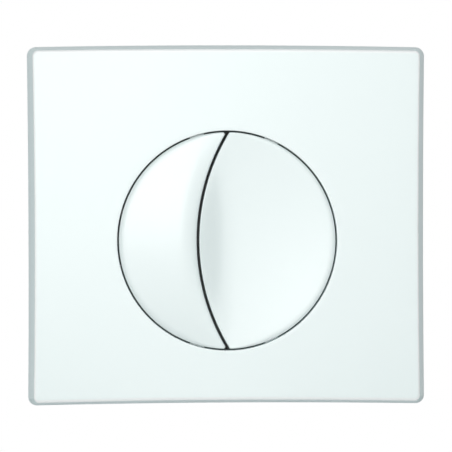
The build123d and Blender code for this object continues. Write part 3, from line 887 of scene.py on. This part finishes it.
def key_shell(plate, keys, side):
    """A key's face, rounded edge, skirt and inside as one closed wall, about the key circle's centre."""
    along, across = KEY_STEPS
    skirt_level = face_level(plate, keys.radius, 0) - keys.skirt

    def face(place):
        return key_face(plate, keys, side, place.x, place.y)

    def edge(share, size, far):
        """The edge's width or drop, which grows from the tips along the rim and fades to the divider."""
        reach = min(1.0, min(far, 1 - far) / RIM_FADE)
        grown = reach * reach * (3 - 2 * reach)
        return keys.edge + (size - keys.edge) * grown * (1 - share)

    def on_edge(turn):
        """Way to place a point on the rounded edge, at a turn from its inner end to its outer end."""
        def spot(far, share):
            inset = edge(share, keys.rim_width, far) * (1 - sin(turn))
            place = key_outline(keys, side, inset, keys.tip - inset)(far, share)
            place.z = face(place) - edge(share, keys.rim_drop, far) * (1 - cos(turn))
            return place

        return spot

    def at_level(inset, tip, level):
        outline = key_outline(keys, side, inset, tip)

        def spot(far, share):
            place = outline(far, share)
            place.z = level(place)
            return place

        return spot

    def under(place):
        return face(place) - keys.wall

    inner_tip, ease, steps = 0.6, 0.3, 9
    inside = at_level(keys.wall, inner_tip, under)
    spots = [on_edge(pi / 2 * i / steps) for i in range(1, steps + 1)]
    spots.append(at_level(0, keys.tip, lambda place: skirt_level + ease))
    spots.append(at_level(ease, keys.tip - ease, lambda place: skirt_level))
    spots.append(at_level(keys.wall, inner_tip, lambda place: skirt_level))
    spots.append(inside)
    rim = key_sheet(on_edge(0))
    extrude_through(rim, [[spot(i / along, j / across) for i, j in key_ring()] for spot in spots])
    key_sheet(inside)


def hinge_ear(keys, side, low, top):
    """Ear with an eye for the hinge pin, as rings that run round its outside and back through its bore."""
    x = side * keys.hinge
    steps = 36
    bore, outer = [], []
    for i in range(steps):
        turn = 2 * pi * (i + 0.5) / steps
        way = Vector((cos(turn), 0, sin(turn)))
        bore.append(Vector((x, 0, keys.pin_level)) + keys.bore * way)
        if way.z <= 0:
            outer.append(Vector((x, 0, keys.pin_level)) + keys.eye * way)
        else:
            stretch = min(keys.eye / abs(way.x), (top - keys.pin_level) / way.z)
            outer.append(Vector((x, 0, keys.pin_level)) + stretch * way)
    high = low + keys.ear_wall

    def at(ring, y):
        return [Vector((spot.x, y, spot.z)) for spot in ring]

    return [at(outer, low), at(outer, high), at(bore, high), at(bore, low), at(outer, low)]


def push_pad(keys, rods, side, top):
    """Round-nosed blade that bears on the rod's head."""
    x = side * rods.place
    level = keys.pad_level + keys.pad
    half = keys.pad_width / 2
    edge, steps = 0.4, 16
    turns = [pi + pi * i / steps for i in range(steps + 1)]
    nose = [(x + keys.pad * cos(turn), level + keys.pad * sin(turn)) for turn in turns]
    outline = nose + [(x + keys.pad, top), (x - keys.pad, top)]

    def at(y, shrink):
        ring = []
        for px, pz in outline:
            z = level + (pz - level) * shrink if pz < level else pz
            ring.append(Vector((x + (px - x) * shrink, y, z)))
        return ring

    small = 1 - edge / keys.pad
    return [at(-half, small), at(-half + edge, 1), at(half - edge, 1), at(half, small)]


def stop_lug(plate, keys, turn):
    """Lug on a key's skirt, as its outline at two levels."""
    half = keys.lug_width / 2
    inner, outer = keys.radius - keys.wall / 2, keys.radius + keys.lug_reach
    steps, lift = 8, 0.02
    spots = []
    for radius, ends in ((outer, (-1, 1)), (inner, (1, -1))):
        reach = asin(half / radius)
        for i in range(steps + 1):
            swing = turn + reach * (ends[0] + (ends[1] - ends[0]) * i / steps)
            spots.append((radius * cos(swing), radius * sin(swing)))
    low = face_level(plate, keys.radius, 0) - keys.skirt + lift
    return [[Vector((x, y, level)) for x, y in spots] for level in (low, keys.lug_level)]


FEET = {-1: (-26.0, 20.0, -4.86), 1: (8.0, 28.0, -2.02)}  # by side: place across, place up, level of the end
LUG_TURNS = {-1: radians(106), 1: radians(66)}  # by side, from the right of the key circle


def key_fittings(plate, keys, rods, side):
    """Ears, push pad, feet and stop lugs of a key, drawn into one mesh."""
    def roof(x, y):
        return key_face(plate, keys, side, x, y) - keys.wall / 2

    ear_room, ease = 0.2, 0.5
    for low in (keys.ear_inset, -keys.ear_inset - keys.ear_wall):
        loft(hinge_ear(keys, side, low, roof(side * (keys.hinge + keys.eye), low) - ear_room))
    loft(push_pad(keys, rods, side, roof(side * rods.place, 0)), capped=True)
    x, y, end = FEET[side]
    for foot_y in (y, -y):
        top = roof(x, foot_y)
        profile = [(0, end), (keys.foot - ease, end), (keys.foot, end + ease), (keys.foot, top), (0, top)]
        turned(profile, POST_STEPS, (x, foot_y))
    for turn in (LUG_TURNS[side], -LUG_TURNS[side]):
        loft(stop_lug(plate, keys, turn), capped=True)


# Operators

class FLUSH_OT_cover_plate(bpy.types.Operator):
    """Model the moulded cover plate with its collar, ribs, bosses and snap hooks"""

    bl_idname = "flush.cover_plate"
    bl_label = "Cover plate"

    def execute(self, context):
        plate, keys = sizes_of("flush_plate"), sizes_of("flush_keys")
        shell = start_piece("plate_cover")
        loft(plate_shell(plate, keys.drop))
        close_up()

        backing = start_piece("plate_backing")
        for turn in RIB_TURNS:
            loft(plate_rib(plate, keys.drop, turn, rib_reach(plate, keys.drop, turn)), capped=True)
        for side in (-1, 1):
            for end in (-1, 1):
                loft(snap_hook(plate, side, end), capped=True)
        close_up()
        unite(shell, backing)

        bosses = start_piece("plate_bosses")
        roof, lead, ease = 0.4, 0.4, 0.2
        low = plate.boss_level
        for turn in BOSS_TURNS:
            x = plate.boss_circle * cos(turn)
            y = plate.boss_circle * sin(turn) - keys.drop
            top = face_level(plate, x, y) - plate.wall / 2
            hole = top - roof
            profile = [
                (0, hole), (plate.pilot, hole), (plate.pilot, low + lead), (plate.pilot + lead, low),
                (plate.boss - ease, low), (plate.boss, low + ease), (plate.boss, top), (0, top),
            ]
            turned(profile, POST_STEPS, (x, y))
        close_up()
        unite(shell, bosses)
        seat(shell, "plate", "plate_white", "cover_plate")
        return {"FINISHED"}


class FLUSH_OT_keys(bpy.types.Operator):
    """Model the domed small key and the dished large key with their hinge ears, pads, feet and lugs"""

    bl_idname = "flush.keys"
    bl_label = "Flush keys"

    def execute(self, context):
        plate, keys, rods = (sizes_of(name) for name in ("flush_plate", "flush_keys", "flush_rods"))
        for name, side in SIDES.items():
            shell = start_piece(f"{name}_key_cap")
            key_shell(plate, keys, side)
            close_up()
            fittings = start_piece(f"{name}_key_fittings")
            key_fittings(plate, keys, rods, side)
            close_up()
            unite(shell, fittings)
            shift(shell, (0, -keys.drop, 0))
            seat(shell, f"{name}_key", "key_white", f"{name}_flush_key")
        return {"FINISHED"}


class FLUSH_OT_push_rods(bpy.types.Operator):
    """Model the threaded push rods with their retaining clips and fluted tips"""

    bl_idname = "flush.push_rods"
    bl_label = "Push rods"

    def execute(self, context):
        rods, keys = sizes_of("flush_rods"), sizes_of("flush_keys")
        patterns = {"push_rod": self.rod(rods), "rod_clip": self.clip(rods), "rod_tip": self.tip(rods)}
        slots = {"push_rod": "rod_plastic", "rod_clip": "spring_steel", "rod_tip": "tip_plastic"}
        for name, side in SIDES.items():
            move = (side * rods.place, -keys.drop, 0)
            for kind, pattern in patterns.items():
                piece = copy_of(pattern, f"{name}_{kind}_piece", move)
                seat(piece, f"{name}_rod", slots[kind], f"{name}_{kind}")
        for pattern in patterns.values():
            bpy.data.objects.remove(pattern, do_unlink=True)
        return {"FINISHED"}

    def rod(self, rods):
        """Headed shank with a groove for the clip, a threaded length and a tapered end."""
        shank = start_piece("rod_pattern")
        play = 0.05  # of the clip in its groove
        dish, rim = 0.15, 2.0  # hollow of the head's face, and the rim round it
        edge, ease, fillet, run_out = 0.5, 0.2, 0.3, 0.5
        overlap = 0.4  # of the plain core and the thread that is wound on
        head_front, head_back = -rods.head_front, -rods.head_back
        thread_front = -rods.thread_front
        groove_front, groove_back = -rods.clip_front + play, -rods.clip_front - rods.clip_wall - play
        profile = [(0, head_front - dish), (rods.head - rim, head_front)]
        profile += rounded(rods.head, head_front, edge)
        profile += [(rods.head, head_back + ease), (rods.head - ease, head_back)]
        profile += [(rods.radius + fillet, head_back), (rods.radius, head_back - fillet)]
        profile += [(rods.radius, groove_front), (rods.groove, groove_front), (rods.groove, groove_back)]
        profile += [(rods.radius, groove_back), (rods.radius, thread_front + run_out)]
        profile += [(rods.core, thread_front), (rods.core, thread_front - overlap)]
        profile += [(0, thread_front - overlap)]
        turned(profile)
        close_up()
        taper = start_piece("rod_taper")
        plug, cone, cone_inset, thread_stop = 1.2, 0.7, 0.5, 0.8  # from the rod's end, and the cone's taper
        end = -rods.end
        turned([
            (0, end + plug), (rods.core, end + plug), (rods.core, end + cone),
            (rods.core - cone_inset, end), (0, end),
        ])
        close_up()
        winding = thread("rod_thread", rods.radius, rods.core, rods.pitch, end + thread_stop, thread_front)
        return join(shank, taper, winding)

    def clip(self, rods):
        """Open spring clip with three prongs, stamped from strip."""
        clip = start_piece("clip_pattern")
        outer_steps, inner_steps = 56, 72
        prong_inset, prong_turn, prong_slope = 0.2, 0.28, 0.2  # in radians
        prong_height = 1.0
        half = rods.clip_mouth / 2
        outer = asin(half / rods.clip)
        inner = asin(half / rods.groove)
        prongs = (inner + prong_inset, pi, 2 * pi - inner - prong_inset)
        spots = [(rods.clip, outer + (2 * pi - 2 * outer) * i / outer_steps) for i in range(outer_steps + 1)]
        for i in range(inner_steps + 1):
            turn = 2 * pi - inner - (2 * pi - 2 * inner) * i / inner_steps
            away = min(abs(turn - prong) for prong in prongs)
            relief = min(1.0, max(0.0, (away - prong_turn) / prong_slope))
            spots.append((rods.groove + prong_height * relief, turn))
        front, back, edge = -rods.clip_front, -rods.clip_front - rods.clip_wall, 0.12
        rings = []
        for level, inset in ((back, edge), (back + edge, 0), (front - edge, 0), (front, edge)):
            ring = []
            for radius, turn in spots:
                eased = radius - inset if radius == rods.clip else radius + inset
                ring.append(Vector((eased * cos(turn), eased * sin(turn), level)))
            rings.append(ring)
        loft(rings, capped=True)
        close_up()
        return clip

    def tip(self, rods):
        """Screw-on tip: a fluted grip with a blind bore, and a round nose."""
        tip = start_piece("tip_pattern")
        steps, flutes = 128, 8

        def fluted(level, inset=0.0):
            ring = []
            for i in range(steps):
                turn = 2 * pi * i / steps
                off = abs((turn + pi / flutes) % (2 * pi / flutes) - pi / flutes)
                radius = rods.grip
                bite = rods.flute**2 - (rods.grip * sin(off)) ** 2
                if bite > 0:
                    radius = min(radius, rods.grip * cos(off) - sqrt(bite))
                ring.append(Vector(((radius - inset) * cos(turn), (radius - inset) * sin(turn), level)))
            return ring

        fit, room = 0.02, 0.4
        chamfer, ease, fillet = 0.5, 0.15, 0.4
        groove, groove_top, groove_floor = 0.35, 0.6, 0.3  # depth, and half widths
        groove_places = (4.5, 6.5, 8.5)  # behind the grip
        front = -rods.tip_front
        back = front - rods.grip_length
        bore = rods.radius + fit
        bottom = -rods.end - room
        rings = [circle(0, bottom, steps), circle(bore, bottom, steps), circle(bore, front - chamfer, steps)]
        rings += [circle(bore + chamfer, front, steps), fluted(front, chamfer), fluted(front - ease, ease)]
        rings += [fluted(front - chamfer), fluted(back + chamfer)]
        rings += [fluted(back + ease, ease), fluted(back, chamfer)]
        nose = [(rods.nose + fillet, back), (rods.nose, back - fillet)]
        for groove_place in groove_places:
            level = back - groove_place
            nose += [(rods.nose, level + groove_top), (rods.nose - groove, level + groove_floor)]
            nose += [(rods.nose - groove, level - groove_floor), (rods.nose, level - groove_top)]
        edge, edge_steps = rods.nose_edge, 6
        for i in range(edge_steps + 1):
            turn = pi / 2 * i / edge_steps
            nose.append((rods.nose - edge * (1 - cos(turn)), -rods.tip_end + edge * (1 - sin(turn))))
        nose.append((0, -rods.tip_end))
        rings += [circle(radius, level, steps) for radius, level in nose]
        loft(rings)
        close_up()
        return tip


class FLUSH_OT_return_springs(bpy.types.Operator):
    """Model the return springs, which the rods squeeze against the carrier's floor"""

    bl_idname = "flush.return_springs"
    bl_label = "Return springs"

    def execute(self, context):
        rods, keys = sizes_of("flush_rods"), sizes_of("flush_keys")
        coil = self.coil(rods)
        for name, side in SIDES.items():
            move = (side * rods.place, -keys.drop, 0)
            piece = copy_of(coil, f"{name}_spring_coil", move)
            seat(piece, "plate", "spring_steel", f"{name}_return_spring", angle=60)
            anchor = tuple(place / MM_PER_METRE for place in (move[0], rods.seat, move[1]))
            slide = next(joint for joint in frame["joints"] if joint["name"] == f"{name}_rod_slide")
            travel = slide["range_m"][1]
            room = (rods.seat - rods.head_back) / MM_PER_METRE
            (room - travel) / room
            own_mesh(piece)
        bpy.data.objects.remove(coil, do_unlink=True)
        return {"FINISHED"}

    def coil(self, rods):
        """Wire wound with a closed turn at each end."""
        coil = start_piece("coil_pattern")
        turns, steps, sides = 4.5, 40, 12
        play, gap = 0.05, 0.06
        low = -rods.seat + rods.wire + play
        high = -rods.head_back - rods.wire - play
        closed, lead = 0.8, 2 * rods.wire + gap
        slope = (high - low - 2 * closed * lead) / (turns - 2 * closed)
        rings = []
        for i in range(int(turns * steps) + 1):
            turn = i / steps
            level = low + lead * min(turn, closed) + slope * min(max(turn - closed, 0), turns - 2 * closed)
            level += lead * max(0, turn - (turns - closed))
            heading = 2 * pi * turn
            out = Vector((cos(heading), sin(heading), 0))
            rings.append([
                out * (rods.spring + rods.wire * cos(2 * pi * j / sides))
                + Vector((0, 0, level + rods.wire * sin(2 * pi * j / sides)))
                for j in range(sides)
            ])
        loft(rings, capped=True)
        close_up()
        return coil


class FLUSH_OT_fixing_studs(bpy.types.Operator):
    """Model the threaded studs that fasten the frame"""

    bl_idname = "flush.fixing_studs"
    bl_label = "Fixing studs"

    def execute(self, context):
        studs = sizes_of("flush_studs")
        collar, thread_front = -0.3, -0.05  # levels behind the wall
        plug, cone = 1.2, 0.4  # from the stud's end
        neck = start_piece("stud_pattern")
        turned([
            (0, collar), (studs.core, collar), (studs.radius, 0), (studs.neck, 0),
            (studs.neck, studs.neck_level - studs.chamfer), (studs.neck - studs.chamfer, studs.neck_level),
            (0, studs.neck_level),
        ])
        close_up()
        taper = start_piece("stud_cone")
        end = -studs.end
        turned([
            (0, end + plug), (studs.core, end + plug), (studs.core, end + cone),
            (studs.radius - studs.chamfer, end), (0, end),
        ])
        close_up()
        thread_stop = end + studs.chamfer
        winding = thread("stud_thread", studs.radius, studs.core, studs.pitch, thread_stop, thread_front)
        stud = join(neck, taper, winding)
        for side, name in ((-1, "left_stud"), (1, "right_stud")):
            piece = copy_of(stud, name, (side * studs.place, 0, 0))
            seat(piece, "plate", "zinc_steel", "fixing_studs")
        bpy.data.objects.remove(stud, do_unlink=True)
        return {"FINISHED"}


class FLUSH_OT_fittings(bpy.types.Operator):
    """Finish the carrier, the frame and the small fittings, whose CAD forms stay"""

    bl_idname = "flush.fittings"
    bl_label = "Carrier, frame and fittings"

    def execute(self, context):
        for node in frame["nodes"].values():
            slot = node.data.materials[0].name
            node.material_slots[0].material = finish_for(slot)
        return {"FINISHED"}


VIEW_WIDTH = 452  # pixels
VIEW_FOCUS = 1880  # the camera's focal length in those pixels
SENSOR_WIDTH = 36  # millimetres
NEAREST = 0.01  # what the camera sees begins here
LAMPS = {  # way from the object, distance, size and watts
    "broad_softbox": ((-0.09, -1.0, 0.12), 1.7, 1.6, 13.1),
    "key_softbox": ((-0.16, -1.0, 0.13), 1.6, 0.53, 2.3),
    "top_light": ((0.0, -1.0, 0.58), 1.2, 0.5, 2.4),
    "low_light": ((0.0, -1.0, -0.58), 0.33, 0.1, 0.03),
    "left_fill": ((-1.0, -0.3, 0.15), 1.2, 0.5, 0.9),
    "rear_fill": ((0.0, 1.0, 0.0), 1.6, 0.6, 9.0),
}
LAMP_TINT = (1.0, 0.995, 0.985)
SURROUND_LIGHT = (0.105, 0.147, 0.154)  # what the surround throws on the object
FLOOR_RADIUS, FLOOR_LEVEL, FLOOR_STEPS = 0.9, -0.25, 96
FLOOR_TONES = ((0.86, 0.87, 0.87), (0.9, 0.9, 0.9))
FLOOR_GLOW = (0.38, 0.38, 0.38)
BLACK = (0, 0, 0)


class FLUSH_OT_stage(bpy.types.Operator):
    """Set the camera, the lamps, the white surround and the pale floor"""

    bl_idname = "flush.stage"
    bl_label = "Stage"

    def execute(self, context):
        bpy.ops.object.select_all(action="DESELECT")
        scene = context.scene
        scene.view_settings.view_transform = "Standard"

        azimuth, elevation, roll = radians(-1.938), radians(1.176), radians(-0.12)
        target = Vector((-0.00022, 0, -0.00083))
        distance = 0.9
        away = Vector((sin(azimuth) * cos(elevation), -cos(azimuth) * cos(elevation), sin(elevation)))
        turn = away.to_track_quat("Z", "Y") @ Quaternion((0, 0, 1), roll)
        bpy.ops.object.camera_add(location=target + distance * away, rotation=turn.to_euler())
        camera = context.object
        camera.data.sensor_width = SENSOR_WIDTH
        camera.data.lens = SENSOR_WIDTH * VIEW_FOCUS / VIEW_WIDTH
        camera.data.clip_start = NEAREST
        scene.camera = camera

        for name, settings in LAMPS.items():
            self.lamp(name, *settings)
        self.surround(scene)
        self.floor()
        return {"FINISHED"}

    def lamp(self, name, way, distance, size, energy):
        """Square area lamp that stands in a direction from the object and faces it."""
        way = Vector(way).normalized()
        bpy.ops.object.light_add(
            type="AREA", location=distance * way, rotation=way.to_track_quat("Z", "Y").to_euler()
        )
        lamp = bpy.context.object
        lamp.name = name
        lamp.data.shape = "SQUARE"
        lamp.data.size = size
        lamp.data.energy = energy
        lamp.data.color = LAMP_TINT
        lamp.visible_camera = False

    def surround(self, scene):
        """White to the eye and in reflections, with a dimmer cool light on the object."""
        scene.world = bpy.data.worlds.new("Surround")
        world = Finish(scene.world)
        glow, white = (
            world.node("ShaderNodeBackground", sockets={"Color": (*tone, 1), "Strength": 1.0})
            for tone in (SURROUND_LIGHT, WHITE)
        )
        mixed = world.node("ShaderNodeMixShader", sockets={0: world.seen(), 1: glow, 2: white})
        world.node("ShaderNodeOutputWorld", sockets={"Surface": mixed})

    def floor(self):
        """Pale round floor below the object, which keeps its shadow and is clear from underneath."""
        piece = start_piece("stage_floor")
        fill_ring(add_ring(circle(FLOOR_RADIUS, FLOOR_LEVEL, FLOOR_STEPS)))
        bpy.ops.object.mode_set(mode="OBJECT")
        finish = Finish(bpy.data.materials.new("Pale floor"))
        tone = finish.blend(finish.noise(3), *FLOOR_TONES)
        pale = finish.blend(finish.seen(), BLACK, FLOOR_GLOW)
        above = finish.node("ShaderNodeBsdfPrincipled", sockets={
            "Base Color": tone, "Roughness": 0.8, "Specular IOR Level": 0.1,
            "Emission Color": pale, "Emission Strength": 1.0,
        })
        below = finish.node("ShaderNodeBsdfTransparent")
        underside = finish.node("ShaderNodeNewGeometry", output="Backfacing")
        mixed = finish.node("ShaderNodeMixShader", sockets={0: underside, 1: above, 2: below})
        finish.node("ShaderNodeOutputMaterial", sockets={"Surface": mixed})
        piece.data.materials.append(finish.owner)


class FLUSH_PT_panel(bpy.types.Panel):
    """Lists the pieces and the sizes they are made to"""

    bl_idname = "FLUSH_PT_panel"
    bl_label = "Flush plate"
    bl_space_type = "VIEW_3D"
    bl_region_type = "UI"
    bl_category = "Flush plate"

    def draw(self, context):
        for work in OPERATORS:
            self.layout.operator(work.bl_idname)
        for name, group in GROUPS.items():
            box = self.layout.box()
            box.label(text=group.__doc__)
            for size in group.__annotations__:
                box.prop(getattr(context.scene, name), size)


OPERATORS = (
    FLUSH_OT_fittings,
    FLUSH_OT_cover_plate,
    FLUSH_OT_keys,
    FLUSH_OT_push_rods,
    FLUSH_OT_return_springs,
    FLUSH_OT_fixing_studs,
    FLUSH_OT_stage,
)


def register():
    for name, group in GROUPS.items():
        bpy.utils.register_class(group)
        setattr(bpy.types.Scene, name, bpy.props.PointerProperty(type=group))
    for kind in (*OPERATORS, FLUSH_PT_panel):
        bpy.utils.register_class(kind)


def unregister():
    for kind in (FLUSH_PT_panel, *reversed(OPERATORS)):
        bpy.utils.unregister_class(kind)
    for name, group in reversed(GROUPS.items()):
        delattr(bpy.types.Scene, name)
        bpy.utils.unregister_class(group)


def main():
    register()
    bpy.ops.flush.fittings()
    bpy.ops.flush.cover_plate()
    bpy.ops.flush.keys()
    bpy.ops.flush.push_rods()
    bpy.ops.flush.return_springs()
    bpy.ops.flush.fixing_studs()
    bpy.ops.flush.stage()


if __name__ == "__main__":
    main()
